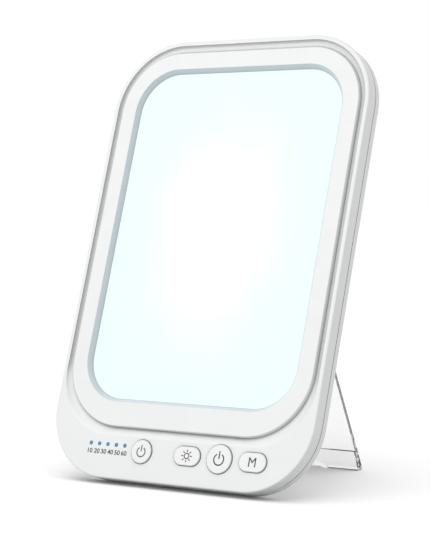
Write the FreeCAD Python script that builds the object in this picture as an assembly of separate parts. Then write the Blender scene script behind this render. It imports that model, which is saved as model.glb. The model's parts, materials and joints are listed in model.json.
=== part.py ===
import FreeCAD, Part
import math
import os
from FreeCAD import Vector

os.makedirs("parts", exist_ok=True)

# Light therapy lamp: a thin upright casing that leans back on a clear leg.
# Every piece is drawn upright first, in millimetres: X to the right, Y from the front face
# to the back, Z up the casing. The whole is then leaned back and set on the floor.

# Casing
casing_width = 160.0
casing_height = 243.6
casing_depth = 11.9
front_cover_depth = 7.0
bottom_corner_radius = 36.9
top_corner_radius = 39.4
cover_wall = 2.0
face_wall = 2.4
front_edge_radius = 0.8
rear_edge_radius = 1.0
parting_gap = 0.4
parting_gap_depth = 0.6
tongue_thickness = 0.9
tongue_length = 1.2
lean_angle = 18.49

# Groove, bezel and window
rim_width = 2.4
groove_depth = 1.4
groove_cove_radius = 1.1
groove_steps = 4
dish_run = 4.4
dish_outer_radius = 33.2
bezel_side_margin = 5.9
bezel_top_margin = 7.1
bezel_bottom_margin = 27.9
bezel_bottom_radius = 34.8
bezel_top_radius = 32.9
bezel_proud = 0.4
bezel_edge_radius = 0.3
bezel_bevel_run = 0.9
bezel_lip_wall = 0.6
window_side_margin = 14.7
window_top_margin = 16.3
window_bottom_margin = 40.6
window_corner_radius = 24.5
window_taper = 2.1

# Light stack, from the diffuser to the tray behind it
stack_overlap = 3.2
stack_corner_radius = 8.2
diffuser_thickness = 1.6
guide_thickness = 3.0
reflector_thickness = 0.25
tray_thickness = 1.0
tray_edge_height = 3.0
tray_bottom_radius = 8.0
tray_top_radius = 24.0
chip_thickness = 0.7
chip_length = 3.0
chip_height = 2.4
chip_pitch = 7.0
chip_gap = 0.1
strip_thickness = 0.8
strip_width = 3.0
strip_bottom_margin = 4.6
strip_top_margin = 22.0
ribbon_drop = 1.0
ribbon_inset = 4.6
rib_thickness = 1.2
rib_margin = 23.2

# Buttons
panel_line = 15.4
timer_button_place = -19.3
timer_button_diameter = 12.6
brightness_button_place = 9.0
power_button_place = 28.5
power_button_diameter = 15.0
mode_button_place = 48.2
pill_length = 16.2
pill_height = 10.0
button_gap = 0.25
button_proud = 0.7
button_edge_chamfer = 0.4
button_flange = 0.8
button_flange_thickness = 1.0
button_stem_radius = 1.6
button_travel = 0.6

# Timer lights
light_first_place = -52.4
light_pitch = 5.46
light_count = 5
light_line = 17.7
light_radius = 1.05
comb_height = 2.6
comb_thickness = 1.0
comb_end = 1.6

# Control board
board_depth = 7.0
board_thickness = 1.2
board_end_margin = 4.6
board_low = 6.3
board_high = 25.5
tab_side_margin = 9.0
tab_low = 21.0
tab_high = 34.5
switch_size = 5.2
switch_height = 2.0
plunger_radius = 1.0
plunger_sink = 1.0
led_length = 1.6
led_width = 0.8
led_height = 0.6
light_to_led = 0.2
connector_width = 5.0
connector_length = 3.6
connector_height = 2.6
board_post_radius = 1.8
driver_chip_size = 5.0
driver_chip_height = 1.1
driver_chip_place = (20.5, 21.5)
coil_radius = 3.0
coil_height = 2.0
coil_place = (-34.0, 10.2)
capacitor_radius = 1.6
capacitor_height = 2.6
capacitor_line = 11.0
capacitor_places = (-2.5, -8.5)
board_post_places = ((-44.0, 9.0), (-6.0, 21.5), (19.5, 8.0), (38.5, 23.2))

# Power inlet on the left side
inlet_line = 31.0
inlet_depth = 4.7
inlet_length = 10.0
inlet_width = 6.0
inlet_bore_radius = 1.8
inlet_bore_depth = 8.0
inlet_pin_radius = 0.65
inlet_hole_radius = 2.0

# Screws
screw_radius = 1.0
screw_head_radius = 1.9
screw_head_height = 1.3
screw_tip = 3.6
boss_radius = 2.4
head_pocket_depth = 1.6
side_boss_margin = 5.6
side_boss_lines = (75.0, 190.0)
bottom_boss_gap = 3.1
bottom_boss_line = 15.0
top_boss_place = 30.0
top_boss_margin = 7.1
board_screw_radius = 0.75
board_screw_head_radius = 1.5
board_screw_head_height = 1.0
board_screw_length = 3.0

# Stand: bracket, pin and leg
pivot_height = 155.1
pivot_offset = 5.0
open_angle = 37.9
bracket_thickness = 1.6
bracket_half_height = 7.7
lug_width = 5.0
centre_lug_width = 8.0
lug_radius = 3.4
barrel_radius = 3.1
pin_radius = 1.5
washer_thickness = 0.4
washer_radius = 2.9
leg_thickness = 2.4
leg_top_half_width = 33.1
leg_foot_half_width = 48.6
foot_height = 12.5
foot_step = 1.3
foot_thickening = 2.6
foot_corner_radius = 1.6
notch_half_width = 27.0
notch_flat_half_width = 16.5
notch_height = 4.7
hinge_screw_place = 18.0
hinge_screw_line = 5.5
hinge_boss_radius = 2.2
hinge_pilot_gap = 0.6
hinge_tip_gap = 0.9

# Clearances
seat_clearance = 0.15
screw_clearance = 0.05
running_clearance = 0.05
pin_clearance = 0.02
washer_clearance = 0.05
part_clearance = 0.3
tip_clearance = 0.2
over_cut = 1.0
same_place = 1e-4

# Derived levels and sizes
half_width = casing_width / 2
rear_wall_inside = casing_depth - cover_wall
bezel_half_width = half_width - bezel_side_margin
bezel_top = casing_height - bezel_top_margin
window_half_width = half_width - window_side_margin
window_top = casing_height - window_top_margin
guide_front = face_wall + diffuser_thickness
guide_back = guide_front + guide_thickness
tray_front = guide_back + reflector_thickness
tray_back = tray_front + tray_thickness
stack_half_width = window_half_width + stack_overlap
stack_bottom = window_bottom_margin - stack_overlap
stack_top = window_top + stack_overlap
strip_inner = stack_half_width + chip_gap + chip_thickness
strip_outer = strip_inner + strip_thickness
tray_outer = strip_outer + tray_thickness
strip_top = stack_top - strip_top_margin
flange_back = face_wall + button_flange_thickness
switch_front = board_depth - switch_height
board_back = board_depth + board_thickness
board_half_width = board_end_margin - light_first_place
tab_outer = half_width - tab_side_margin
ribbon_entry = board_half_width - ribbon_inset
bottom_boss_place = board_half_width + boss_radius + bottom_boss_gap
light_places = [light_first_place + i * light_pitch for i in range(light_count)]
rear_cavity_inset = cover_wall + seat_clearance + tongue_thickness
pivot_depth = casing_depth + pivot_offset
bracket_back = casing_depth + bracket_thickness
lug_inner = leg_top_half_width + washer_thickness + washer_clearance
lug_outer = lug_inner + lug_width
side_boss_place = half_width - side_boss_margin
top_boss_line = casing_height - top_boss_margin
boss_places = (
    [(side * side_boss_place, line) for side in (-1, 1) for line in side_boss_lines]
    + [(side * bottom_boss_place, bottom_boss_line) for side in (-1, 1)]
    + [(side * top_boss_place, top_boss_line) for side in (-1, 1)]
)
hinge_screw_places = [
    (side * hinge_screw_place, pivot_height + level * hinge_screw_line)
    for side in (-1, 1)
    for level in (-1, 1)
]


def radians(degrees):
    return degrees * math.pi / 180


# Lowest point of the leaned casing: the rounded rear edge of its bottom face
lean = radians(lean_angle)
floor_level = (
    rear_edge_radius * math.cos(lean)
    - (casing_depth - rear_edge_radius) * math.sin(lean)
    - rear_edge_radius
)
pivot_rise = pivot_height * math.cos(lean) - pivot_depth * math.sin(lean) - floor_level


def arc(start, middle, end):
    return Part.Arc(start, middle, end).toShape()


def rounded_outline(half, low, high, low_radius, high_radius, depth):
    """Closed outline across X and Z at one depth, with its own radius at the bottom and the top."""
    diagonal = math.sqrt(0.5)

    def corner(side, level, radius, start_flat):
        centre_x = side * (half - radius)
        centre_z = low + radius if level < 0 else high - radius
        on_side = Vector(side * half, depth, centre_z)
        on_flat = Vector(centre_x, depth, centre_z + level * radius)
        middle = Vector(
            centre_x + side * radius * diagonal, depth, centre_z + level * radius * diagonal
        )
        return arc(on_flat, middle, on_side) if start_flat else arc(on_side, middle, on_flat)

    corners = [
        corner(1, -1, low_radius, True),
        corner(1, 1, high_radius, False),
        corner(-1, 1, high_radius, True),
        corner(-1, -1, low_radius, False),
    ]
    edges = []
    for i, edge in enumerate(corners):
        following = corners[(i + 1) % len(corners)]
        edges.append(edge)
        edges.append(Part.makeLine(edge.lastVertex(True).Point, following.firstVertex(True).Point))
    return Part.Wire(edges)


def plate(wire, thickness):
    return Part.Face(wire).extrude(Vector(0, thickness, 0))


def casing_outline(inset, depth):
    return rounded_outline(
        half_width - inset,
        inset,
        casing_height - inset,
        bottom_corner_radius - inset,
        top_corner_radius - inset,
        depth,
    )


def casing_slab(inset, front, back):
    return plate(casing_outline(inset, front), back - front)


def window_outline(margin, depth):
    return rounded_outline(
        window_half_width + margin,
        window_bottom_margin - margin,
        window_top + margin,
        window_corner_radius + margin,
        window_corner_radius + margin,
        depth,
    )


def bezel_outline(margin, depth):
    return rounded_outline(
        bezel_half_width + margin,
        bezel_bottom_margin - margin,
        bezel_top + margin,
        bezel_bottom_radius + margin,
        bezel_top_radius + margin,
        depth,
    )


def stack_slab(front, back):
    wire = rounded_outline(stack_half_width, stack_bottom, stack_top, stack_corner_radius,
                           stack_corner_radius, front)
    return plate(wire, back - front)


def block(x_range, y_range, z_range):
    size = [high - low for low, high in (x_range, y_range, z_range)]
    return Part.makeBox(*size, Vector(x_range[0], y_range[0], z_range[0]))


def rod(place, radius, front, back):
    """Cylinder along Y at (x, z)."""
    return Part.makeCylinder(radius, back - front, Vector(place[0], front, place[1]), Vector(0, 1, 0))


def cross_rod(radius, low, high, depth, height):
    """Cylinder along X."""
    return Part.makeCylinder(radius, high - low, Vector(low, depth, height), Vector(1, 0, 0))


def edges_at_depth(solid, depth):
    """Edges that lie wholly in the plane Y = depth."""
    return [
        edge
        for edge in solid.Edges
        if abs(edge.BoundBox.YMin - depth) < same_place
        and abs(edge.BoundBox.YMax - depth) < same_place
    ]


def profile_across(points, low, high):
    """Closed (y, z) polygon drawn at X = low and extruded to X = high."""
    corners = [Vector(low, y, z) for y, z in points]
    return Part.Face(Part.makePolygon(corners + corners[:1])).extrude(Vector(high - low, 0, 0))


def button_slab(button, margin, front, back):
    place, length, height = button
    if length <= height:
        return rod((place, panel_line), height / 2 + margin, front, back)
    reach = (length - height) / 2
    radius = height / 2 + margin
    right = Vector(place + reach, front, panel_line)
    left = Vector(place - reach, front, panel_line)
    up = Vector(0, 0, radius)
    wire = Part.Wire(
        [
            arc(right - up, right + Vector(radius, 0, 0), right + up),
            Part.makeLine(right + up, left + up),
            arc(left + up, left - Vector(radius, 0, 0), left - up),
            Part.makeLine(left - up, right - up),
        ]
    )
    return plate(wire, back - front)


buttons = {
    "timer": (timer_button_place, timer_button_diameter, timer_button_diameter),
    "brightness": (brightness_button_place, pill_length, pill_height),
    "power": (power_button_place, power_button_diameter, power_button_diameter),
    "mode": (mode_button_place, pill_length, pill_height),
}


def groove_cutter():
    """Recess round the bezel: a coved wall at the rim, turning into a soft dish at the bottom."""
    bezel_foot = bezel_bottom_margin - bezel_bevel_run
    dish_inner_radius = bezel_bottom_radius + bezel_bevel_run

    def section(share, depth):
        sink = max(depth - groove_depth + groove_cove_radius, 0)
        inset = rim_width + groove_cove_radius - math.sqrt(groove_cove_radius ** 2 - sink ** 2)
        return rounded_outline(
            half_width - inset,
            bezel_foot - dish_run * (1 - share),
            casing_height - inset,
            dish_outer_radius + (dish_inner_radius - dish_outer_radius) * share,
            top_corner_radius - inset,
            depth,
        )

    shares = [i / groove_steps for i in range(groove_steps + 1)]
    depths = [groove_depth * share ** 2 * (3 - 2 * share) for share in shares]
    recess = Part.makeLoft([section(*pair) for pair in zip(shares, depths)], True, False)
    return recess.fuse(plate(section(0, -over_cut), over_cut))


def bezel_pocket():
    """Flat-bottomed seat for the bezel, inside the dish."""
    outline = bezel_outline(bezel_bevel_run + seat_clearance, -over_cut)
    return plate(outline, over_cut + groove_depth)


def front_cover():
    shell = casing_slab(0, 0, front_cover_depth)
    shell = shell.makeFillet(front_edge_radius, edges_at_depth(shell, 0))
    shell = shell.cut(casing_slab(cover_wall, face_wall, front_cover_depth + over_cut))
    for place in boss_places:
        shell = shell.fuse(rod(place, boss_radius, face_wall, front_cover_depth))
    for place in board_post_places:
        shell = shell.fuse(rod(place, board_post_radius, face_wall, board_depth))
    cutters = [
        groove_cutter(),
        bezel_pocket(),
        plate(window_outline(bezel_lip_wall + seat_clearance, 0), face_wall + over_cut),
        cross_rod(inlet_hole_radius, -half_width - over_cut, cover_wall - half_width + over_cut,
                  inlet_depth, inlet_line),
    ]
    pilot = screw_radius + screw_clearance
    pilot_end = screw_tip - tip_clearance
    cutters += [rod(p, pilot, pilot_end, front_cover_depth + over_cut) for p in boss_places]
    board_pilot = board_screw_radius + screw_clearance
    board_pilot_end = board_depth - board_screw_length - tip_clearance
    cutters += [rod(p, board_pilot, board_pilot_end, board_depth + over_cut)
                for p in board_post_places]
    cutters += [button_slab(b, button_gap, -over_cut, face_wall + over_cut)
                for b in buttons.values()]
    cutters += [rod((x, light_line), light_radius + running_clearance, -over_cut,
                    face_wall + over_cut) for x in light_places]
    return shell.cut(cutters).removeSplitter()


def bezel_frame():
    """Ring with a bevelled outer edge, a lip through the cover and a window that tapers inward."""
    ring = Part.makeLoft(
        [bezel_outline(0, -bezel_proud), bezel_outline(bezel_bevel_run, groove_depth)],
        True,
        True,
    )
    ring = ring.makeFillet(bezel_edge_radius, edges_at_depth(ring, -bezel_proud))
    lip = plate(window_outline(bezel_lip_wall, 0), face_wall)
    slope = window_taper / (face_wall + bezel_proud)
    funnel = Part.makeLoft(
        [
            window_outline(slope * over_cut, -bezel_proud - over_cut),
            window_outline(-window_taper - slope * over_cut, face_wall + over_cut),
        ],
        True,
        True,
    )
    return ring.fuse(lip).cut(funnel).removeSplitter()


def back_plate():
    """Folded tray: a flat plate with an edge turned forward behind each strip."""
    base = plate(
        rounded_outline(tray_outer, stack_bottom, stack_top, tray_bottom_radius, tray_top_radius,
                        tray_front),
        tray_thickness,
    )
    low = stack_bottom + tray_bottom_radius
    for side in (-1, 1):
        x_range = sorted((side * strip_outer, side * tray_outer))
        base = base.fuse(block(x_range, (tray_front - tray_edge_height, tray_back),
                               (low, strip_top)))
    return base.removeSplitter()


def led_strip(side):
    """Strip board along one edge of the light guide, with a ribbon down to the board's connector."""
    low = stack_bottom - ribbon_drop
    inner, outer = strip_inner, strip_outer
    entry_in = ribbon_entry - strip_thickness / 2
    entry_out = ribbon_entry + strip_thickness / 2
    high = strip_top
    path = [
        (inner, high),
        (inner, low),
        (entry_in, low),
        (entry_in, board_high),
        (entry_out, board_high),
        (entry_out, low - strip_thickness),
        (outer, low - strip_thickness),
        (outer, high),
    ]
    corners = [Vector(side * x, tray_front - strip_width, z) for x, z in path]
    return plate(Part.makePolygon(corners + corners[:1]), strip_width)


def led_chips(side):
    start = stack_bottom + strip_bottom_margin
    end = strip_top
    count = int((end - start - chip_length) // chip_pitch) + 1
    first = (start + end) / 2 - (count - 1) * chip_pitch / 2
    x_range = sorted((side * (strip_inner - chip_thickness), side * strip_inner))
    middle = (guide_front + guide_back) / 2
    y_range = (middle - chip_height / 2, middle + chip_height / 2)
    chips = []
    for i in range(count):
        centre = first + i * chip_pitch
        chips.append(block(x_range, y_range, (centre - chip_length / 2, centre + chip_length / 2)))
    return Part.makeCompound(chips)


def control_board():
    points = [
        (-board_half_width, board_low),
        (board_half_width, board_low),
        (board_half_width, board_high),
        (-board_half_width, board_high),
        (-board_half_width, tab_high),
        (-tab_outer, tab_high),
        (-tab_outer, tab_low),
        (-board_half_width, tab_low),
    ]
    corners = [Vector(x, board_depth, z) for x, z in points]
    board = plate(Part.makePolygon(corners + corners[:1]), board_thickness)
    holes = [rod(p, board_screw_radius + screw_clearance, board_depth - over_cut,
                 board_back + over_cut) for p in board_post_places]
    return board.cut(holes)


def tact_switches():
    switches = []
    half = switch_size / 2
    for place, _, _ in buttons.values():
        body = block((place - half, place + half), (switch_front, board_depth),
                     (panel_line - half, panel_line + half))
        well_end = switch_front + plunger_sink + button_travel + tip_clearance
        well = rod((place, panel_line), plunger_radius + running_clearance,
                   switch_front - over_cut, well_end)
        switches.append(body.cut(well))
    return Part.makeCompound(switches)


def plunger(button):
    place = (button[0], panel_line)
    return rod(place, plunger_radius, switch_front - button_travel - tip_clearance,
               switch_front + plunger_sink)


def button_cap(button):
    """Cap that stands a little proud, a flange behind the face and a stem on the plunger."""
    cap = button_slab(button, 0, -button_proud, face_wall)
    cap = cap.makeChamfer(button_edge_chamfer, edges_at_depth(cap, -button_proud))
    flange = button_slab(button, button_flange, face_wall, flange_back)
    stem_end = switch_front - button_travel - tip_clearance
    stem = rod((button[0], panel_line), button_stem_radius, flange_back, stem_end)
    return cap.fuse([flange, stem]).removeSplitter()


def indicator_light_pipes():
    """Clear comb: a bar behind the face with one pipe forward and back for each light."""
    comb = block(
        (light_places[0] - comb_end, light_places[-1] + comb_end),
        (face_wall, face_wall + comb_thickness),
        (light_line - comb_height / 2, light_line + comb_height / 2),
    )
    pipe_end = board_depth - led_height - light_to_led
    pipes = [rod((x, light_line), light_radius, 0, pipe_end) for x in light_places]
    return comb.fuse(pipes).removeSplitter()


def indicator_leds():
    leds = [
        block(
            (x - led_length / 2, x + led_length / 2),
            (board_depth - led_height, board_depth),
            (light_line - led_width / 2, light_line + led_width / 2),
        )
        for x in light_places
    ]
    return Part.makeCompound(leds)


def board_components():
    """Ribbon connectors, the driver chip, its coil and two capacitors."""
    items = []
    for side in (-1, 1):
        centre = side * ribbon_entry
        items.append(block((centre - connector_width / 2, centre + connector_width / 2),
                           (board_depth - connector_height, board_depth),
                           (board_high - connector_length, board_high)))
    half_chip = driver_chip_size / 2
    items.append(block((driver_chip_place[0] - half_chip, driver_chip_place[0] + half_chip),
                       (board_back, board_back + driver_chip_height),
                       (driver_chip_place[1] - half_chip, driver_chip_place[1] + half_chip)))
    items.append(rod(coil_place, coil_radius, board_depth - coil_height, board_depth))
    for place in capacitor_places:
        items.append(rod((place, capacitor_line), capacitor_radius,
                         board_depth - capacitor_height, board_depth))
    return Part.makeCompound(items)


def wall_inside_at(line):
    """Distance from the middle to the inner face of the side wall at one height."""
    radius = bottom_corner_radius - cover_wall
    below = max(bottom_corner_radius - line, 0)
    return half_width - bottom_corner_radius + math.sqrt(radius ** 2 - below ** 2)


def dc_socket():
    mouth = seat_clearance - wall_inside_at(inlet_line - inlet_width / 2)
    end = mouth + inlet_length
    body = block((mouth, end), (face_wall + seat_clearance, board_depth),
                 (inlet_line - inlet_width / 2, inlet_line + inlet_width / 2))
    bore = cross_rod(inlet_bore_radius, mouth - over_cut, mouth + inlet_bore_depth,
                     inlet_depth, inlet_line)
    pin = cross_rod(inlet_pin_radius, mouth + over_cut, mouth + inlet_bore_depth,
                    inlet_depth, inlet_line)
    return body.cut(bore).fuse(pin)


def rear_cover():
    gap_back = front_cover_depth + parting_gap
    shell = casing_slab(0, gap_back, casing_depth)
    shell = shell.makeFillet(rear_edge_radius, edges_at_depth(shell, casing_depth))
    shell = shell.fuse(casing_slab(parting_gap_depth, front_cover_depth, gap_back))
    shell = shell.cut(casing_slab(rear_cavity_inset, front_cover_depth - over_cut,
                                  rear_wall_inside))
    tongue_front = front_cover_depth - tongue_length
    tongue = casing_slab(cover_wall + seat_clearance, tongue_front, front_cover_depth)
    tongue = tongue.cut(casing_slab(rear_cavity_inset, tongue_front - over_cut,
                                    front_cover_depth + over_cut))
    inlet_gap = inlet_width / 2 + part_clearance
    tongue = tongue.cut(block((-half_width, 0), (tongue_front - over_cut, front_cover_depth),
                              (inlet_line - inlet_gap, inlet_line + inlet_gap)))
    boss_clear = boss_radius + seat_clearance
    tongue = tongue.cut([rod(p, boss_clear, tongue_front - over_cut, front_cover_depth)
                         for p in boss_places])
    shell = shell.fuse(tongue)
    for place in boss_places:
        shell = shell.fuse(rod(place, boss_radius, front_cover_depth, casing_depth - cover_wall))
    rib_half = rib_thickness / 2
    rib_lines = (
        stack_bottom + rib_margin,
        (stack_bottom + stack_top) / 2,
        stack_top - rib_margin,
    )
    rib_reach = tray_outer - rib_half
    for line in rib_lines:
        shell = shell.fuse(block((-rib_reach, rib_reach), (tray_back, rear_wall_inside),
                                 (line - rib_half, line + rib_half)))
    for x in (-stack_half_width / 2, stack_half_width / 2):
        shell = shell.fuse(block((x - rib_half, x + rib_half), (tray_back, rear_wall_inside),
                                 (rib_lines[0], rib_lines[-1])))
    for place in hinge_screw_places:
        shell = shell.fuse(rod(place, hinge_boss_radius, tray_back + seat_clearance,
                               rear_wall_inside))
    cutters = []
    for place in boss_places:
        cutters.append(rod(place, screw_radius + screw_clearance,
                           front_cover_depth - over_cut, casing_depth))
        cutters.append(rod(place, screw_head_radius + screw_clearance,
                           casing_depth - head_pocket_depth, casing_depth + over_cut))
    for place in hinge_screw_places:
        cutters.append(rod(place, screw_radius + screw_clearance, tray_back + hinge_pilot_gap,
                           casing_depth + over_cut))
    return shell.cut(cutters).removeSplitter()


def screw(place, seat, tip, radius, head_radius, head_height):
    """Pan-head screw driven from the back, turned in one piece about its axis."""
    top = seat + head_height
    bevel = head_height / 3
    profile = [
        (0, tip),
        (radius, tip),
        (radius, seat),
        (head_radius, seat),
        (head_radius, top - bevel),
        (head_radius - bevel, top),
        (0, top),
    ]
    corners = [Vector(place[0] + x, y, place[1]) for x, y in profile]
    face = Part.Face(Part.makePolygon(corners + corners[:1]))
    return face.revolve(Vector(place[0], 0, place[1]), Vector(0, 1, 0), 360)


def cover_screws():
    seat = casing_depth - head_pocket_depth
    return Part.makeCompound([
        screw(p, seat, screw_tip, screw_radius, screw_head_radius, screw_head_height)
        for p in boss_places
    ])


def board_screws():
    tip = board_depth - board_screw_length
    return Part.makeCompound([
        screw(p, board_back, tip, board_screw_radius, board_screw_head_radius,
              board_screw_head_height)
        for p in board_post_places
    ])


def hinge_screws():
    tip = tray_back + hinge_tip_gap
    return Part.makeCompound([
        screw(p, bracket_back, tip, screw_radius, screw_head_radius, screw_head_height)
        for p in hinge_screw_places
    ])


def hinge_bracket():
    """Bar on the rear cover with an outer lug at each end and one in the middle."""
    bar = block((-lug_outer, lug_outer), (casing_depth, bracket_back),
                (pivot_height - bracket_half_height, pivot_height + bracket_half_height))
    corners = [e for e in bar.Edges if abs(e.Length - bracket_thickness) < same_place]
    bar = bar.makeFillet(lug_width / 2, corners)
    spans = (
        (-lug_outer, -lug_inner),
        (-centre_lug_width / 2, centre_lug_width / 2),
        (lug_inner, lug_outer),
    )
    for low, high in spans:
        foot = block((low, high), (casing_depth + bracket_thickness / 2, pivot_depth),
                     (pivot_height - lug_radius, pivot_height + lug_radius))
        eye = cross_rod(lug_radius, low, high, pivot_depth, pivot_height)
        bar = bar.fuse([foot, eye])
    bore = cross_rod(pin_radius + pin_clearance, -lug_outer - over_cut, lug_outer + over_cut,
                     pivot_depth, pivot_height)
    holes = [rod(p, screw_radius + screw_clearance, casing_depth - over_cut,
                 bracket_back + over_cut) for p in hinge_screw_places]
    return bar.cut([bore] + holes).removeSplitter()


def hinge_pin():
    reach = lug_outer - part_clearance
    pin = cross_rod(pin_radius, -reach, reach, pivot_depth, pivot_height)
    ends = [e for e in pin.Edges if abs(abs(e.BoundBox.XMin) - reach) < same_place
            and abs(abs(e.BoundBox.XMax) - reach) < same_place]
    return pin.makeChamfer(part_clearance, ends)


def friction_washers():
    washers = []
    starts = (
        -lug_inner,
        -centre_lug_width / 2 - washer_thickness,
        centre_lug_width / 2,
        lug_inner - washer_thickness,
    )
    for low in starts:
        ring = cross_rod(washer_radius, low, low + washer_thickness, pivot_depth, pivot_height)
        hole = cross_rod(pin_radius + running_clearance, low - over_cut,
                         low + washer_thickness + over_cut, pivot_depth, pivot_height)
        washers.append(ring.cut(hole))
    return Part.makeCompound(washers)


def leg_bottom(depth):
    """Height, below the pivot, of the floor in the leg's own folded frame at one depth."""
    slope = radians(open_angle - lean_angle)
    return -(pivot_rise + depth * math.sin(slope)) / math.cos(slope)


def stand_leg():
    """Clear leg, drawn folded and then swung open: a tapered plate, a thicker foot and a barrel."""
    rear = leg_thickness / 2
    front = -rear
    foot_front = front - foot_thickening
    foot_top = leg_bottom(rear) + foot_height
    section = [
        (rear, 0),
        (front, 0),
        (front, foot_top),
        (front - foot_step, foot_top),
        (foot_front, leg_bottom(foot_front)),
        (rear, leg_bottom(rear)),
    ]
    wide = leg_foot_half_width + leg_thickness
    body = profile_across(section, -wide, wide)
    rounded = [e for e in edges_at_depth(body, rear)
               if abs(e.BoundBox.ZMax - leg_bottom(rear)) < same_place]
    body = body.makeFillet(foot_corner_radius, rounded)
    low = leg_bottom(rear) - over_cut
    shoulder = -lug_radius - part_clearance
    taper = (leg_foot_half_width - leg_top_half_width) / (shoulder - leg_bottom(foot_front))
    reach = leg_top_half_width + taper * (shoulder - low)
    notch_top = leg_bottom(foot_front) + notch_height
    notch_slope = (notch_half_width - notch_flat_half_width) / notch_height
    notch_reach = notch_flat_half_width + notch_slope * (notch_top - low)
    corners = [
        Vector(-reach, 0, low),
        Vector(-notch_reach, 0, low),
        Vector(-notch_flat_half_width, 0, notch_top),
        Vector(notch_flat_half_width, 0, notch_top),
        Vector(notch_reach, 0, low),
        Vector(reach, 0, low),
        Vector(leg_top_half_width, 0, shoulder),
        Vector(leg_top_half_width, 0, 0),
        Vector(-leg_top_half_width, 0, 0),
        Vector(-leg_top_half_width, 0, shoulder),
    ]
    face = Part.Face(Part.makePolygon(corners + corners[:1]))
    depth = barrel_radius * 4
    silhouette = face.extrude(Vector(0, depth, 0)).translated(Vector(0, -depth / 2, 0))
    leg = body.common(silhouette)
    barrel = cross_rod(barrel_radius, -leg_top_half_width, leg_top_half_width, 0, 0)
    leg = leg.fuse(barrel)
    gap = centre_lug_width / 2 + washer_thickness + washer_clearance
    leg = leg.cut([
        block((-gap, gap), (-depth, depth), (shoulder, depth)),
        cross_rod(pin_radius + running_clearance, -reach, reach, 0, 0),
    ]).removeSplitter()
    leg.rotate(Vector(0, 0, 0), Vector(1, 0, 0), open_angle)
    leg.translate(Vector(0, pivot_depth, pivot_height))
    return leg


pieces = {
    "front_cover": front_cover(),
    "bezel_frame": bezel_frame(),
    "diffuser": stack_slab(face_wall, guide_front),
    "light_guide": stack_slab(guide_front, guide_back),
    "reflector_sheet": stack_slab(guide_back, tray_front),
    "back_plate": back_plate(),
    "led_strip_left": led_strip(-1),
    "led_strip_right": led_strip(1),
    "led_chips_left": led_chips(-1),
    "led_chips_right": led_chips(1),
    "control_board": control_board(),
    "board_components": board_components(),
    "tact_switches": tact_switches(),
    "indicator_light_pipes": indicator_light_pipes(),
    "indicator_leds": indicator_leds(),
    "dc_socket": dc_socket(),
    "rear_cover": rear_cover(),
    "cover_screws": cover_screws(),
    "board_screws": board_screws(),
    "hinge_bracket": hinge_bracket(),
    "hinge_screws": hinge_screws(),
    "hinge_pin": hinge_pin(),
    "friction_washers": friction_washers(),
    "stand_leg": stand_leg(),
}
for name, button in buttons.items():
    pieces[name + "_button"] = button_cap(button)
    pieces[name + "_plunger"] = plunger(button)

# Lean the lamp back and put the origin on the floor, under the middle of the whole
for shape in pieces.values():
    shape.rotate(Vector(0, 0, 0), Vector(1, 0, 0), -lean_angle)
front_reach = pieces["front_cover"].optimalBoundingBox(True, False).YMin
rear_reach = pieces["stand_leg"].optimalBoundingBox(True, False).YMax
to_origin = Vector(0, -(front_reach + rear_reach) / 2, -floor_level)

for node, shape in pieces.items():
    shape.translate(to_origin)
    shape.exportStep("parts/" + node + ".step")
    box = shape.BoundBox
    print(f"{node:24s} {len(shape.Solids):3d} solids  {shape.Volume:10.1f} mm3  "
          f"x {box.XMin:7.2f} {box.XMax:7.2f}  y {box.YMin:7.2f} {box.YMax:7.2f}  "
          f"z {box.ZMin:7.2f} {box.ZMax:7.2f}  valid {shape.isValid()}")

pivot = Vector(0, pivot_depth, pivot_height)
turned = FreeCAD.Rotation(Vector(1, 0, 0), -lean_angle).multVec(pivot) + to_origin
print("pivot", [round(v, 4) for v in turned], "shift", [round(v, 4) for v in to_origin])
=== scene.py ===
import json
import math

import bpy
from mathutils import Matrix, Vector


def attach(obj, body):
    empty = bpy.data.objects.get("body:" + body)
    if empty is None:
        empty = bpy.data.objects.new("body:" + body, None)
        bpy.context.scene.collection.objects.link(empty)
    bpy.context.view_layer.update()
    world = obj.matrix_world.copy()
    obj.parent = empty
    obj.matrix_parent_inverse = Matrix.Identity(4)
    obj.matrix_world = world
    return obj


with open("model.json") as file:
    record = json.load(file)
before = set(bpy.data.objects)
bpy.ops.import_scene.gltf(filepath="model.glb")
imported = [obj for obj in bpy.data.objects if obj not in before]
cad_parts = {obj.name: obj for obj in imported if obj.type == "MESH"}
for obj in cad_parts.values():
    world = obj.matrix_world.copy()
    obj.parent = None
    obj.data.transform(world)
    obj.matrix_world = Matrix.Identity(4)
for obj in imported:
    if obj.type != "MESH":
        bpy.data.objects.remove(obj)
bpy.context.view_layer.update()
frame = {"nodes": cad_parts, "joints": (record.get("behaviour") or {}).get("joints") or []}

# Sizes are in millimetres in the casing's own upright frame: X to the right, Y from the
# front face to the back, Z up the casing from its bottom edge. MM turns them to metres.
MM = 0.001

# Hinge line, window and front faces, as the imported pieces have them
PIVOT_DEPTH = 16.9
PIVOT_HEIGHT = 155.1
WINDOW_HALF_WIDTH = 65.3
WINDOW_LOW = 40.6
WINDOW_HIGH = 227.3
WINDOW_RADIUS = 24.5
CAP_FRONT = -0.7
FACE_FRONT = 0.0

# Control panel: the line of the keys, their places along it, and the timer lights
PANEL_LINE = 15.4
TIMER_PLACE = -19.3
BRIGHTNESS_PLACE = 9.0
POWER_PLACE = 28.5
MODE_PLACE = 48.2
LIGHT_FIRST = -52.4
LIGHT_PITCH = 5.46
LIGHT_LINE = 17.7

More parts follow.
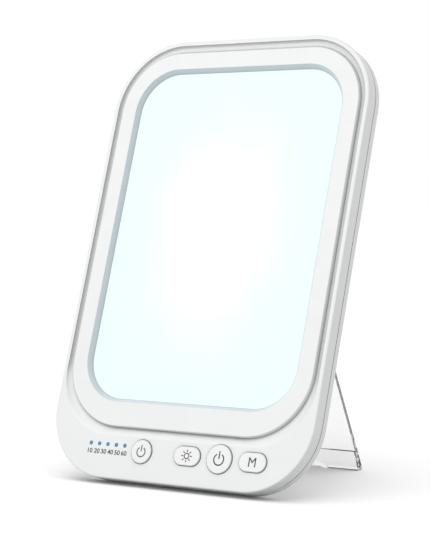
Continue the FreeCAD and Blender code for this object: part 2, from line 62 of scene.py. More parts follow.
# Printed signs: radii and strokes, the on-off sign's gap in degrees and its bar's ends and its
# ring's drop as shares of its radius, the mode letter, and where the timer numbers stand
TIMER_SIGN_RADIUS = 2.5
TIMER_SIGN_STROKE = 0.56
POWER_SIGN_RADIUS = 2.9
POWER_SIGN_STROKE = 0.66
POWER_SIGN_GAP = 62
POWER_BAR_LOW = 0.12
POWER_BAR_HIGH = 1.3
POWER_RING_DROP = 0.08
SUN_RADIUS = 1.4
SUN_STROKE = 0.52
RAY_START = 2.3
RAY_END = 3.0
RAY_COUNT = 8
MODE_HEIGHT = 4.8
MODE_NARROWING = 0.95
NUMBER_LINE = 13.7
NUMBER_FIRST = -52.2
NUMBER_LAST = -30.4
NUMBER_HEIGHT = 2.5
NUMBER_WEIGHT = 0.065

# Share of a font's size that its capitals and figures are high
CAPITAL_SHARE = 0.69

# Ink: its thickness, and the least that it stands off the moulding
INK_THICKNESS = 0.02
INK_GAP = 0.004

# The values of a noise mostly lie between these two
NOISE_LOW = 0.3
NOISE_HIGH = 0.7

# Shade painted into the seams and steps of the mouldings: its tone, how far it reaches from them,
# the openness at which it is fullest and gone, and the heights between which the underside is kept free
# of it
SEAM_SHADE = "#3A3C3E"
SEAM_REACH = 2.5
SEAM_CLOSED = 0.55
SEAM_OPEN = 0.92
UNDERSIDE_LOW = 5.0
UNDERSIDE_HIGH = 8.0

# Key caps: the forward share of a normal below which a cap is flank, and above which it is face
CAP_FLANK = 0.4
CAP_FACE = 0.85

# Bezel: the distance from the window's outline at which the grey of its wall starts and is full
WALL_GREY_START = 0.25
WALL_GREY_FULL = -0.1

# Glow of the window, in half windows from its middle: where it starts to turn cool, where it is
# coolest, and how far its clouds move that
GLOW_START = 0.24
GLOW_END = 1.05
GLOW_CLOUDS = 0.35

# Light pipes: the radii between which their glow falls off
PIPE_CORE = 0.15
PIPE_EDGE = 0.95

# Leg: the heights between which its sawn edge turns to the rougher edge of the foot, the least
# sideways share of a normal that makes a face an edge, and the haze that all its faces have
ROUGH_EDGE_LOW = 17.0
ROUGH_EDGE_HIGH = 24.0
EDGE_LEAN = 0.7
LEG_HAZE = 0.03

# Bare metal: the share to which a noise's point is squeezed along X, which draws it into marks
MARK_SQUEEZE = 0.08

# Camera of the photograph, placed from the middle of the casing's bottom front edge, with its
# turn and dip in degrees, and its focal length and the picture's height in pixels
CAMERA_PLACE = (515.3, -743.2, 148.3)
CAMERA_TURN = 33.197
CAMERA_DIP = 2.436
CAMERA_FOCAL = 1790.87
PICTURE_HEIGHT = 537
SENSOR_SIZE = 36.0

# White studio: light from all round, a key light on the lamp and a broad one on the table
WORLD_LIGHT = 0.83
KEY_STRENGTH = 1.1
KEY_SPREAD = 40.0
KEY_DIRECTION = (-0.45, -0.62, 0.64)
TABLE_STRENGTH = 1.6
TABLE_SPREAD = 70.0
TABLE_DIRECTION = (0.0, -0.1, 0.99)
TABLE_SIZE = 12.0

joints = {joint["name"]: joint for joint in frame["joints"]}
inward = Vector(joints["power_press"]["axis"])
lean = math.atan2(-inward.z, inward.y)
lean_matrix = Matrix.Rotation(-lean, 4, "X")
pivot = Vector(joints["stand_hinge"]["pos_m"])
casing_origin = pivot - lean_matrix @ (Vector((0, PIVOT_DEPTH, PIVOT_HEIGHT)) * MM)
casing_matrix = Matrix.Translation(casing_origin) @ lean_matrix


def linear(code):
    """sRGB hex colour to the linear values that the shaders take."""
    channels = [int(code[i:i + 2], 16) / 255 for i in (1, 3, 5)]
    return tuple(
        c / 12.92 if c <= 0.04045 else ((c + 0.055) / 1.055) ** 2.4 for c in channels
    ) + (1.0,)


def add(tree, kind, settings=None, **links):
    """Adds a node, sets its properties, and gives each named input a value, a socket or a node.

    An input is named by its label with _ for a space, or by i and its number."""
    node = tree.nodes.new(kind)
    for name, value in (settings or {}).items():
        setattr(node, name, value)
    for name, value in links.items():
        key = int(name[1:]) if name[0] == "i" and name[1:].isdigit() else name.replace("_", " ")
        if isinstance(value, bpy.types.Node):
            value = next(socket for socket in value.outputs if socket.enabled)
        if isinstance(value, bpy.types.NodeSocket):
            tree.links.new(value, node.inputs[key])
        else:
            node.inputs[key].default_value = value
    return node


def per(size_mm):
    """Scale of a noise whose features are about size_mm across.

    Its point is the rest position in metres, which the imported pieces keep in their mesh."""
    return 1 / (size_mm * MM)


def start_material(name):
    """New material and its empty tree."""
    material = bpy.data.materials.new(name)
    material.use_nodes = True
    tree = material.node_tree
    tree.nodes.clear()
    return material, tree


def finish_material(material, shader):
    """Joins the shader to the material's output."""
    add(material.node_tree, "ShaderNodeOutputMaterial", Surface=shader)
    return material


def casing_point(tree, place):
    """The same point in the casing's upright frame, in millimetres."""
    return add(
        tree, "ShaderNodeMapping", {"vector_type": "TEXTURE"}, Vector=place,
        Location=casing_origin, Rotation=(-lean, 0, 0), Scale=(MM, MM, MM),
    )


def from_window_middle(tree, place):
    """Place in millimetres from the middle of the window."""
    return add(
        tree, "ShaderNodeVectorMath", {"operation": "SUBTRACT"}, i0=casing_point(tree, place),
        i1=(0, 0, (WINDOW_LOW + WINDOW_HIGH) / 2),
    )


def window_distance(tree, place):
    """Signed distance in millimetres to the window's rounded outline, less than 0 inside it."""
    half_height = (WINDOW_HIGH - WINDOW_LOW) / 2
    corner_centre = (WINDOW_HALF_WIDTH - WINDOW_RADIUS, 0, half_height - WINDOW_RADIUS)
    flat = add(tree, "ShaderNodeVectorMath", {"operation": "MULTIPLY"},
               i0=from_window_middle(tree, place), i1=(1, 0, 1))
    folded = add(tree, "ShaderNodeVectorMath", {"operation": "ABSOLUTE"}, i0=flat)
    from_corner = add(tree, "ShaderNodeVectorMath", {"operation": "SUBTRACT"},
                      i0=folded, i1=corner_centre)
    outside = add(tree, "ShaderNodeVectorMath", {"operation": "MAXIMUM"},
                  i0=from_corner, i1=(0, 0, 0))
    reach = add(tree, "ShaderNodeVectorMath", {"operation": "LENGTH"}, i0=outside)
    return add(tree, "ShaderNodeMath", {"operation": "SUBTRACT"}, i0=reach, i1=WINDOW_RADIUS)


def seam_shade(tree, colour):
    """Colour with shade painted into seams and at the foot of steps, where little is open around them.

    The underside is left without this painted shade, though the table lies close to it."""
    # painted shade: the colour darkens towards the seam tone where ambient occlusion finds the surface
    # closed in
    openness = add(tree, "ShaderNodeAmbientOcclusion", {"samples": 8}, Distance=SEAM_REACH * MM)
    unshaded = add(tree, "ShaderNodeMapRange", Value=openness.outputs["AO"],
                From_Min=SEAM_CLOSED, From_Max=SEAM_OPEN)
    spot = add(tree, "ShaderNodeNewGeometry").outputs["Position"]
    height = add(tree, "ShaderNodeSeparateXYZ", Vector=spot).outputs["Z"]
    low_down = add(tree, "ShaderNodeMapRange", Value=height,
                   From_Min=UNDERSIDE_HIGH * MM, From_Max=UNDERSIDE_LOW * MM)
    share = add(tree, "ShaderNodeMath", {"operation": "MAXIMUM"}, i0=unshaded, i1=low_down)
    return add(tree, "ShaderNodeMix", {"data_type": "RGBA"}, Factor=share,
               i6=linear(SEAM_SHADE), i7=colour)


def moulded_abs(name, dark, light, roughness, texture_mm, texture_depth):
    """Injection-moulded ABS: even colour with painted shade in its seams, soft gloss that drifts a
    little with the tool's polish.
    """
    material, tree = start_material(name)
    place = add(tree, "ShaderNodeTexCoord").outputs["Object"]
    drift = add(tree, "ShaderNodeTexNoise", Vector=place, Scale=per(35.0), Detail=1.0)
    polish = add(tree, "ShaderNodeTexNoise", Vector=place, Scale=per(9.0), Detail=3.0)
    grain = add(tree, "ShaderNodeTexNoise", Vector=place, Scale=per(texture_mm), Detail=2.0,
                Roughness=0.6)
    white = add(tree, "ShaderNodeMix", {"data_type": "RGBA"}, Factor=drift,
                i6=linear(dark), i7=linear(light))
    gloss = add(tree, "ShaderNodeMapRange", Value=polish, From_Min=NOISE_LOW, From_Max=NOISE_HIGH,
                To_Min=roughness - 0.03, To_Max=roughness + 0.03)
    texture = add(tree, "ShaderNodeBump", Height=grain, Distance=texture_depth * MM, Strength=1.0)
    shader = add(tree, "ShaderNodeBsdfPrincipled", Base_Color=seam_shade(tree, white),
                 Roughness=gloss, Normal=texture, IOR=1.54)
    return finish_material(material, shader)


def cap_abs():
    """Gloss ABS key caps: white faces, and flanks painted grey for the shade in their gaps."""
    material, tree = start_material("gloss moulded ABS caps")
    place = add(tree, "ShaderNodeTexCoord").outputs["Object"]
    normal = add(tree, "ShaderNodeTexCoord").outputs["Normal"]
    facing = add(tree, "ShaderNodeVectorMath", {"operation": "DOT_PRODUCT"},
                 i0=normal, i1=tuple(inward))
    flatness = add(tree, "ShaderNodeMath", {"operation": "ABSOLUTE"}, i0=facing)
    on_face = add(tree, "ShaderNodeMapRange", Value=flatness, From_Min=CAP_FLANK,
                  From_Max=CAP_FACE)
    drift = add(tree, "ShaderNodeTexNoise", Vector=place, Scale=per(35.0), Detail=1.0)
    mottle = add(tree, "ShaderNodeTexNoise", Vector=place, Scale=per(2.0), Detail=3.0)
    polish = add(tree, "ShaderNodeTexNoise", Vector=place, Scale=per(9.0), Detail=3.0)
    grain = add(tree, "ShaderNodeTexNoise", Vector=place, Scale=per(0.9), Detail=2.0,
                Roughness=0.6)
    white = add(tree, "ShaderNodeMix", {"data_type": "RGBA"}, Factor=drift,
                i6=linear("#E0E1E1"), i7=linear("#E4E4E4"))
    # painted shade: the flanks are coloured a mottled grey for the shade they stand in
    flank = add(tree, "ShaderNodeMix", {"data_type": "RGBA"}, Factor=mottle,
                i6=linear("#6C6E70"), i7=linear("#7C7E80"))
    colour = add(tree, "ShaderNodeMix", {"data_type": "RGBA"}, Factor=on_face,
                 i6=flank, i7=white)
    gloss = add(tree, "ShaderNodeMapRange", Value=polish, From_Min=NOISE_LOW, From_Max=NOISE_HIGH,
                To_Min=0.29, To_Max=0.35)
    texture = add(tree, "ShaderNodeBump", Height=grain, Distance=0.002 * MM, Strength=1.0)
    shader = add(tree, "ShaderNodeBsdfPrincipled", Base_Color=seam_shade(tree, colour),
                 Roughness=gloss, Normal=texture, IOR=1.54)
    return finish_material(material, shader)


def bezel_abs():
    """Gloss ABS bezel: the wall down to the window is a cool grey, the ring stays white."""
    material, tree = start_material("gloss moulded ABS with grey window wall")
    place = add(tree, "ShaderNodeTexCoord").outputs["Object"]
    in_window = add(tree, "ShaderNodeMapRange", Value=window_distance(tree, place),
                    From_Min=WALL_GREY_START, From_Max=WALL_GREY_FULL)
    drift = add(tree, "ShaderNodeTexNoise", Vector=place, Scale=per(35.0), Detail=1.0)
    wall_mottle = add(tree, "ShaderNodeTexNoise", Vector=place, Scale=per(6.0), Detail=2.0)
    polish = add(tree, "ShaderNodeTexNoise", Vector=place, Scale=per(9.0), Detail=3.0)
    grain = add(tree, "ShaderNodeTexNoise", Vector=place, Scale=per(0.8), Detail=2.0)
    white = add(tree, "ShaderNodeMix", {"data_type": "RGBA"}, Factor=drift,
                i6=linear("#DDDEDE"), i7=linear("#E1E2E2"))
    wall = add(tree, "ShaderNodeMix", {"data_type": "RGBA"}, Factor=wall_mottle,
               i6=linear("#C6CED2"), i7=linear("#CDD4D8"))
    colour = add(tree, "ShaderNodeMix", {"data_type": "RGBA"}, Factor=in_window,
                 i6=white, i7=wall)
    gloss = add(tree, "ShaderNodeMapRange", Value=polish, From_Min=NOISE_LOW, From_Max=NOISE_HIGH,
                To_Min=0.3, To_Max=0.36)
    texture = add(tree, "ShaderNodeBump", Height=grain, Distance=0.002 * MM, Strength=1.0)
    shader = add(tree, "ShaderNodeBsdfPrincipled", Base_Color=seam_shade(tree, colour),
                 Roughness=gloss, Normal=texture, IOR=1.54)
    return finish_material(material, shader)


def lit_opal_acrylic():
    """Extruded opal acrylic lit from behind: white in the middle, a cool cyan towards the edges."""
    material, tree = start_material("lit opal acrylic")
    place = add(tree, "ShaderNodeTexCoord").outputs["Object"]
    window_halves = (1 / WINDOW_HALF_WIDTH, 0, 2 / (WINDOW_HIGH - WINDOW_LOW))
    shares = add(tree, "ShaderNodeVectorMath", {"operation": "MULTIPLY"},
                 i0=from_window_middle(tree, place), i1=window_halves)
    reach = add(tree, "ShaderNodeVectorMath", {"operation": "LENGTH"}, i0=shares)
    cloud = add(tree, "ShaderNodeTexNoise", Vector=place, Scale=per(40.0), Detail=2.0)
    wavy = add(tree, "ShaderNodeMath", {"operation": "MULTIPLY_ADD"},
               i0=cloud, i1=GLOW_CLOUDS, i2=reach)
    ramp = add(tree, "ShaderNodeMapRange", {"interpolation_type": "SMOOTHSTEP"}, Value=wavy,
               From_Min=GLOW_START, From_Max=GLOW_END)
    glow = add(tree, "ShaderNodeMix", {"data_type": "RGBA"}, Factor=ramp,
               i6=linear("#FEFFFE"), i7=linear("#E2FBFF"))
    milk = add(tree, "ShaderNodeMix", {"data_type": "RGBA"}, Factor=ramp,
               i6=linear("#8C8E8D"), i7=linear("#868D8E"))
    haze = add(tree, "ShaderNodeTexNoise", Vector=place, Scale=per(3.0), Detail=2.0)
    gloss = add(tree, "ShaderNodeMapRange", Value=haze, From_Min=NOISE_LOW, From_Max=NOISE_HIGH,
                To_Min=0.42, To_Max=0.5)
    grain = add(tree, "ShaderNodeTexNoise", Vector=place, Scale=per(0.5), Detail=2.0)
    texture = add(tree, "ShaderNodeBump", Height=grain, Distance=0.002 * MM, Strength=1.0)
    shader = add(tree, "ShaderNodeBsdfPrincipled", Base_Color=milk, Roughness=gloss,
                 Normal=texture, IOR=1.49, Emission_Color=glow, Emission_Strength=0.75)
    return finish_material(material, shader)


def polished_acrylic():
    """Clear cast acrylic with faint waves in its faces; its sawn side edges are slightly frosted.

    Down at the foot the cut is rougher: frosted flecks stand beside clear ones and sparkle."""
    material, tree = start_material("polished clear acrylic")
    place = add(tree, "ShaderNodeTexCoord").outputs["Object"]
    normal = add(tree, "ShaderNodeTexCoord").outputs["Normal"]
    sideways = add(tree, "ShaderNodeSeparateXYZ", Vector=normal).outputs["X"]
    side_lean = add(tree, "ShaderNodeMath", {"operation": "ABSOLUTE"}, i0=sideways)
    on_edge = add(tree, "ShaderNodeMath", {"operation": "GREATER_THAN"}, i0=side_lean, i1=EDGE_LEAN)
    height = add(tree, "ShaderNodeSeparateXYZ", Vector=place).outputs["Z"]
    at_foot = add(tree, "ShaderNodeMapRange", Value=height,
                  From_Min=ROUGH_EDGE_HIGH * MM, From_Max=ROUGH_EDGE_LOW * MM)
    foot_edge = add(tree, "ShaderNodeMath", {"operation": "MULTIPLY"}, i0=on_edge, i1=at_foot)
    sawn_edge = add(tree, "ShaderNodeMath", {"operation": "SUBTRACT"}, i0=on_edge, i1=foot_edge)
    chips = add(tree, "ShaderNodeTexNoise", Vector=place, Scale=per(2.4), Detail=1.0)
    flecks = add(tree, "ShaderNodeMapRange", Value=chips, From_Min=0.46, From_Max=0.53,
                 To_Max=0.95)
    saw_marks = add(tree, "ShaderNodeTexNoise", Vector=place, Scale=per(2.5), Detail=3.0)
    scratches = add(tree, "ShaderNodeMapRange", Value=saw_marks, From_Min=NOISE_LOW, From_Max=NOISE_HIGH,
                    To_Min=0.2, To_Max=0.5)
    sawn_share = add(tree, "ShaderNodeMath", {"operation": "MULTIPLY_ADD"},
                     i0=sawn_edge, i1=scratches, i2=LEG_HAZE)
    share = add(tree, "ShaderNodeMath", {"operation": "MULTIPLY_ADD"},
                i0=foot_edge, i1=flecks, i2=sawn_share)
    wipes = add(tree, "ShaderNodeTexNoise", Vector=place, Scale=per(12.0), Detail=2.0)
    gloss = add(tree, "ShaderNodeMapRange", Value=wipes, From_Min=NOISE_LOW, From_Max=NOISE_HIGH,
                To_Min=0.0, To_Max=0.03)
    casting = add(tree, "ShaderNodeTexNoise", Vector=place, Scale=per(14.0), Detail=0.0)
    waves = add(tree, "ShaderNodeBump", Height=casting, Distance=0.01 * MM, Strength=1.0)
    clear = add(tree, "ShaderNodeBsdfPrincipled", Base_Color=linear("#F7F7F7"), Roughness=gloss,
                Normal=waves, IOR=1.49, Transmission_Weight=1.0)
    frost = add(tree, "ShaderNodeBsdfDiffuse", Color=linear("#E4E5E5"))
    return finish_material(material, add(tree, "ShaderNodeMixShader", i0=share, i1=clear, i2=frost))


def blue_light_pipe():
    """Clear acrylic light pipe lit by a blue LED: a faint real glow, and light painted into its colour,
    lighter in the middle of its round end.
    """
    material, tree = start_material("lit blue acrylic light pipe")
    place = add(tree, "ShaderNodeTexCoord").outputs["Object"]
    shifted = add(
        tree, "ShaderNodeVectorMath", {"operation": "SUBTRACT"}, i0=casing_point(tree, place),
        i1=(LIGHT_FIRST - LIGHT_PITCH / 2, 0, LIGHT_LINE),
    )
    parts = add(tree, "ShaderNodeSeparateXYZ", Vector=shifted)
    wrapped = add(tree, "ShaderNodeMath", {"operation": "WRAP"},
                  i0=parts.outputs["X"], i1=LIGHT_PITCH, i2=0.0)
    across = add(tree, "ShaderNodeMath", {"operation": "SUBTRACT"}, i0=wrapped, i1=LIGHT_PITCH / 2)
    flat = add(tree, "ShaderNodeCombineXYZ", X=across, Z=parts.outputs["Z"])
    reach = add(tree, "ShaderNodeVectorMath", {"operation": "LENGTH"}, i0=flat)
    # painted light: the colour is lighter towards the middle, where the LED shines through
    ramp = add(tree, "ShaderNodeMapRange", Value=reach, From_Min=PIPE_CORE,
               From_Max=PIPE_EDGE)
    colour = add(tree, "ShaderNodeMix", {"data_type": "RGBA"}, Factor=ramp,
                 i6=linear("#0092C2"), i7=linear("#00608C"))
    haze = add(tree, "ShaderNodeTexNoise", Vector=place, Scale=per(1.0), Detail=2.0)
    gloss = add(tree, "ShaderNodeMapRange", Value=haze, From_Min=NOISE_LOW, From_Max=NOISE_HIGH,
                To_Min=0.3, To_Max=0.4)
    shader = add(tree, "ShaderNodeBsdfPrincipled", Base_Color=colour, Roughness=gloss, IOR=1.49,
                 Emission_Color=colour, Emission_Strength=0.04)
    return finish_material(material, shader)


def printed_ink():
    """Pad-printed grey ink: matt, very slightly uneven where the pad lifted."""
    material, tree = start_material("pad-printed grey ink")
    place = add(tree, "ShaderNodeTexCoord").outputs["Object"]
    lift = add(tree, "ShaderNodeTexNoise", Vector=place, Scale=per(0.6), Detail=3.0)
    tooth = add(tree, "ShaderNodeTexNoise", Vector=place, Scale=per(0.4), Detail=2.0)
    grey = add(tree, "ShaderNodeMix", {"data_type": "RGBA"}, Factor=lift,
               i6=linear("#1C1E20"), i7=linear("#2A2C2E"))
    gloss = add(tree, "ShaderNodeMapRange", Value=tooth, From_Min=NOISE_LOW, From_Max=NOISE_HIGH,
                To_Min=0.5, To_Max=0.62)
    shader = add(tree, "ShaderNodeBsdfPrincipled", Base_Color=grey, Roughness=gloss, IOR=1.5)
    return finish_material(material, shader)


def bare_metal(name, dark, light, roughness, line_mm):
    """Turned, ground or rolled metal: fine marks along X, seen as short streaks in the gloss."""
    material, tree = start_material(name)
    place = add(tree, "ShaderNodeTexCoord").outputs["Object"]
    along = add(tree, "ShaderNodeMapping", Vector=place, Scale=(MARK_SQUEEZE, 1.0, 1.0))
    marks = add(tree, "ShaderNodeTexNoise", Vector=along, Scale=per(line_mm), Detail=3.0,
                Roughness=0.6)
    colour = add(tree, "ShaderNodeMix", {"data_type": "RGBA"}, Factor=marks,
                 i6=linear(dark), i7=linear(light))
    gloss = add(tree, "ShaderNodeMapRange", Value=marks, From_Min=NOISE_LOW, From_Max=NOISE_HIGH,
                To_Min=roughness - 0.06, To_Max=roughness + 0.06)
    texture = add(tree, "ShaderNodeBump", Height=marks, Distance=0.004 * MM, Strength=1.0)
    shader = add(tree, "ShaderNodeBsdfPrincipled", Base_Color=colour, Metallic=1.0,
                 Roughness=gloss, Normal=texture)
    return finish_material(material, shader)


def plain_moulding(name, dark, light, roughness, grain_mm, ior=1.5):
    """Matt moulded or laminated insulation: faint mottling and a fine tooth."""
    material, tree = start_material(name)
    place = add(tree, "ShaderNodeTexCoord").outputs["Object"]
    grain = add(tree, "ShaderNodeTexNoise", Vector=place, Scale=per(grain_mm), Detail=3.0)
    colour = add(tree, "ShaderNodeMix", {"data_type": "RGBA"}, Factor=grain,
                 i6=linear(dark), i7=linear(light))
    gloss = add(tree, "ShaderNodeMapRange", Value=grain, From_Min=NOISE_LOW, From_Max=NOISE_HIGH,
                To_Min=roughness - 0.05, To_Max=roughness + 0.05)
    texture = add(tree, "ShaderNodeBump", Height=grain, Distance=0.01 * MM, Strength=1.0)
    shader = add(tree, "ShaderNodeBsdfPrincipled", Base_Color=colour, Roughness=gloss,
                 Normal=texture, IOR=ior)
    return finish_material(material, shader)


def dress(material, *nodes):
    """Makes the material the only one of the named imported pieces."""
    for name in nodes:
        data = frame["nodes"][name].data
        data.materials.clear()
        data.materials.append(material)


def dress_packed_pieces():
    dress(moulded_abs("satin moulded ABS", "#DEDFDF", "#E2E3E3", 0.4, 0.7, 0.003),
          "front_cover", "rear_cover")
    dress(bezel_abs(), "bezel_frame")
    dress(cap_abs(), "timer_button", "brightness_button", "power_button", "mode_button")
    dress(moulded_abs("spark-textured ABS", "#E6E7E7", "#ECEDED", 0.45, 0.4, 0.008),
          "hinge_bracket")
    dress(lit_opal_acrylic(), "diffuser")
    dress(polished_acrylic(), "stand_leg", "light_guide")
    dress(blue_light_pipe(), "indicator_light_pipes")
    dress(bare_metal("ground stainless steel", "#A9ABAE", "#C9CBCD", 0.28, 0.25), "hinge_pin")
    dress(bare_metal("zinc-plated screw steel", "#9DA0A3", "#C2C4C6", 0.34, 0.3),
          "cover_screws", "board_screws", "hinge_screws")
    dress(bare_metal("mill-finish aluminium sheet", "#B4B6B8", "#CDCFD0", 0.4, 0.5),
          "back_plate")
    dress(plain_moulding("white polyester film", "#F2F2F0", "#F8F8F6", 0.6, 1.5, 1.57),
          "reflector_sheet")
    dress(plain_moulding("white solder mask", "#DEDFD9", "#E8E8E3", 0.45, 0.8),
          "led_strip_left", "led_strip_right")
    dress(plain_moulding("phosphor silicone", "#E9D98A", "#F4E7A6", 0.35, 0.3, 1.41),
          "led_chips_left", "led_chips_right", "indicator_leds")
    dress(plain_moulding("green solder mask", "#1F5B36", "#2A6B41", 0.4, 0.6),
          "control_board")
    dress(plain_moulding("moulded epoxy", "#1D1D1E", "#29292A", 0.55, 0.3),
          "board_components")
    dress(plain_moulding("moulded nylon", "#1A1A1B", "#232324", 0.5, 0.4, 1.53),
          "tact_switches", "timer_plunger", "brightness_plunger", "power_plunger",
          "mode_plunger", "dc_socket")
    dress(plain_moulding("silicone washer rubber", "#BDBEBE", "#C9CACA", 0.6, 0.5, 1.41),
          "friction_washers")


def place_on_casing(piece, body, material):
    """Puts a piece drawn in casing millimetres on its place, with its place in its mesh."""
    piece.data.transform(casing_matrix @ Matrix.Scale(MM, 4))
    piece.data.materials.clear()
    piece.data.materials.append(material)
    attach(piece, body)


def curve_to_mesh(name, curve, depth):
    """Mesh of a flat curve or text, stood up on the face whose front is at the given depth."""
    shape = bpy.data.objects.new(name + "_outline", curve)
    bpy.context.scene.collection.objects.link(shape)
    bpy.context.view_layer.update()
    mesh = bpy.data.meshes.new_from_object(shape)
    bpy.data.objects.remove(shape)
    upright = Matrix.Rotation(math.radians(90), 4, "X")
    stand_off = Matrix.Translation((0, depth - INK_GAP - INK_THICKNESS / 2, 0))
    mesh.transform(stand_off @ upright)
    piece = bpy.data.objects.new(name, mesh)
    bpy.context.scene.collection.objects.link(piece)
    return piece


def ink_piece(name, loops, depth):
    """Flat inked shape from closed loops of (x, z) points; a loop inside another is a hole."""
    curve = bpy.data.curves.new(name, "CURVE")
    curve.dimensions = "2D"
    curve.fill_mode = "BOTH"
    curve.extrude = INK_THICKNESS / 2
    for loop in loops:
        spline = curve.splines.new("POLY")
        spline.points.add(len(loop) - 1)
        for point, (x, z) in zip(spline.points, loop):
            point.co = (x, z, 0, 1)
        spline.use_cyclic_u = True
    return curve_to_mesh(name, curve, depth)


def around(x, z, radius, angle):
    """Point at an angle on a circle about (x, z)."""
    return (x + radius * math.cos(angle), z + radius * math.sin(angle))


def circle(x, z, radius, steps=48):
    return [around(x, z, radius, 2 * math.pi * i / steps) for i in range(steps)]


def stroke(start, end, width, cap_steps=8):
    """Straight stroke with round ends."""
    angle = math.atan2(end[1] - start[1], end[0] - start[0])
    points = []
    for centre, base in ((end, angle - math.pi / 2), (start, angle + math.pi / 2)):
        for i in range(cap_steps + 1):
            points.append(around(*centre, width / 2, base + math.pi * i / cap_steps))
    return points


def open_ring(x, z, radius, width, gap_degrees, steps=44):
    """Ring with a gap at its top."""
    first = math.radians(90 + gap_degrees / 2)
    sweep = math.radians(360 - gap_degrees)
    angles = [first + sweep * i / steps for i in range(steps + 1)]
    outer = [around(x, z, radius + width / 2, angle) for angle in angles]
    inner = [around(x, z, radius - width / 2, angle) for angle in angles]
    return outer + inner[::-1]


def power_sign(name, place, radius, width):
    """Standard on-off sign: an open ring with a bar at its gap."""
    bar = stroke((place, PANEL_LINE + radius * POWER_BAR_LOW),
                 (place, PANEL_LINE + radius * POWER_BAR_HIGH), width)
    ring = open_ring(place, PANEL_LINE - radius * POWER_RING_DROP, radius, width, POWER_SIGN_GAP)
    return ink_piece(name, [ring, bar], CAP_FRONT)


def sun_sign(name, place):
    """Brightness sign: a small ring with short rays."""
    loops = [circle(place, PANEL_LINE, SUN_RADIUS + SUN_STROKE / 2),
             circle(place, PANEL_LINE, SUN_RADIUS - SUN_STROKE / 2)]
    for i in range(RAY_COUNT):
        turn = 2 * math.pi * i / RAY_COUNT
        loops.append(stroke(around(place, PANEL_LINE, RAY_START, turn),
                            around(place, PANEL_LINE, RAY_END, turn), SUN_STROKE))
    return ink_piece(name, loops, CAP_FRONT)


def lettering(name, text, place, height, depth, narrowing=1.0, weight=0.0):
    """Generic sans-serif lettering, height being that of its capitals and figures."""
    curve = bpy.data.curves.new(name, "FONT")
    curve.body = text
    curve.align_x = "CENTER"
    curve.align_y = "CENTER"
    curve.size = height / CAPITAL_SHARE
    curve.extrude = INK_THICKNESS / 2
    curve.offset = weight
    piece = curve_to_mesh(name, curve, depth)
    low = min(v.co.z for v in piece.data.vertices)
    high = max(v.co.z for v in piece.data.vertices)
    left = min(v.co.x for v in piece.data.vertices)
    right = max(v.co.x for v in piece.data.vertices)
    centre = Matrix.Translation((-(left + right) / 2, 0, -(low + high) / 2))
    fitted = Matrix.Diagonal((narrowing, 1, height / (high - low), 1))
    move = Matrix.Translation((place[0], 0, place[1]))
    piece.data.transform(move @ fitted @ centre)
    return piece


def print_signs():
    """Signs on the four keys, and the minutes under the timer lights."""
    ink = printed_ink()
    timer_sign = power_sign("timer_sign", TIMER_PLACE, TIMER_SIGN_RADIUS, TIMER_SIGN_STROKE)
    place_on_casing(timer_sign, "timer_key", ink)
    place_on_casing(sun_sign("brightness_sign", BRIGHTNESS_PLACE), "brightness_key",
                    ink)
    main_sign = power_sign("power_sign", POWER_PLACE, POWER_SIGN_RADIUS, POWER_SIGN_STROKE)
    place_on_casing(main_sign, "power_key", ink)
    mode_letter = lettering("mode_letter", "M", (MODE_PLACE, PANEL_LINE), MODE_HEIGHT, CAP_FRONT,
                            narrowing=MODE_NARROWING)
    place_on_casing(mode_letter, "mode_key", ink)
    numbers = ["10", "20", "30", "40", "50", "60"]
    pitch = (NUMBER_LAST - NUMBER_FIRST) / (len(numbers) - 1)
    for i, number in enumerate(numbers):
        place = (NUMBER_FIRST + i * pitch, NUMBER_LINE)
        piece = lettering("timer_number_" + number, number, place, NUMBER_HEIGHT, FACE_FRONT,
                          weight=NUMBER_WEIGHT)
        place_on_casing(piece, "casing", ink)


def directly_seen(tree):
    """1 for rays from the camera and for those that reach it off gloss or through clear plastic."""
    path = add(tree, "ShaderNodeLightPath")
    seen = add(tree, "ShaderNodeMath", {"operation": "MAXIMUM"},
               i0=path.outputs["Is Camera Ray"], i1=path.outputs["Is Glossy Ray"])
    return add(tree, "ShaderNodeMath", {"operation": "MAXIMUM"},
               i0=seen, i1=path.outputs["Is Transmission Ray"])


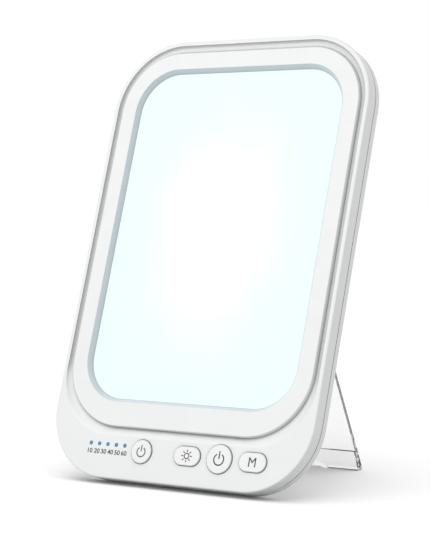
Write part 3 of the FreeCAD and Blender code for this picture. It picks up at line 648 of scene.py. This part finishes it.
def studio_floor():
    """Seamless white table that keeps the shadows and throws back only half of its light."""
    bpy.ops.mesh.primitive_plane_add(size=TABLE_SIZE, location=(0, 0, 0))
    floor = bpy.context.object
    floor.name = "floor"
    material, tree = start_material("matt painted white table")
    white = add(tree, "ShaderNodeMix", {"data_type": "RGBA"}, Factor=directly_seen(tree),
                i6=linear("#C4C4C4"), i7=linear("#EBEBEB"))
    finish_material(material, add(tree, "ShaderNodeBsdfDiffuse", Color=white))
    floor.data.materials.append(material)
    return floor


def white_world():
    """White background where it is seen, softer where it lights the lamp."""
    world = bpy.data.worlds.new("studio")
    bpy.context.scene.world = world
    world.use_nodes = True
    tree = world.node_tree
    tree.nodes.clear()
    strength = add(tree, "ShaderNodeMapRange", Value=directly_seen(tree), To_Min=WORLD_LIGHT,
                   To_Max=1.0)
    background = add(tree, "ShaderNodeBackground", Color=linear("#FFFFFF"), Strength=strength)
    add(tree, "ShaderNodeOutputWorld", Surface=background)


def sun_light(name, strength, spread, direction, lit):
    """Broad parallel light that only the given objects catch; every object shades it."""
    light = bpy.data.lights.new(name, "SUN")
    light.energy = strength
    light.angle = math.radians(spread)
    sun = bpy.data.objects.new(name, light)
    sun.rotation_euler = Vector(direction).to_track_quat("Z", "Y").to_euler()
    bpy.context.scene.collection.objects.link(sun)
    receivers = bpy.data.collections.new("lit_by_" + name)
    for piece in lit:
        receivers.objects.link(piece)
    sun.light_linking.receiver_collection = receivers


def photo_camera():
    """Camera that stands where the photograph was taken from, with its lens."""
    data = bpy.data.cameras.new("camera")
    data.sensor_fit = "AUTO"
    data.sensor_width = SENSOR_SIZE
    data.lens = CAMERA_FOCAL / PICTURE_HEIGHT * SENSOR_SIZE
    data.clip_start = 0.01
    camera = bpy.data.objects.new("camera", data)
    camera.location = casing_origin + Vector(CAMERA_PLACE) * MM
    camera.rotation_euler = (math.radians(90 - CAMERA_DIP), 0, math.radians(CAMERA_TURN))
    bpy.context.scene.collection.objects.link(camera)
    bpy.context.scene.camera = camera


bpy.context.scene.view_settings.view_transform = "Standard"
photo_camera()
white_world()
floor = studio_floor()
dress_packed_pieces()
print_signs()
lamp_pieces = [piece for piece in bpy.data.objects if piece.type == "MESH" and piece != floor]
sun_light("key", KEY_STRENGTH, KEY_SPREAD, KEY_DIRECTION, lamp_pieces)
sun_light("table_light", TABLE_STRENGTH, TABLE_SPREAD, TABLE_DIRECTION, [floor])
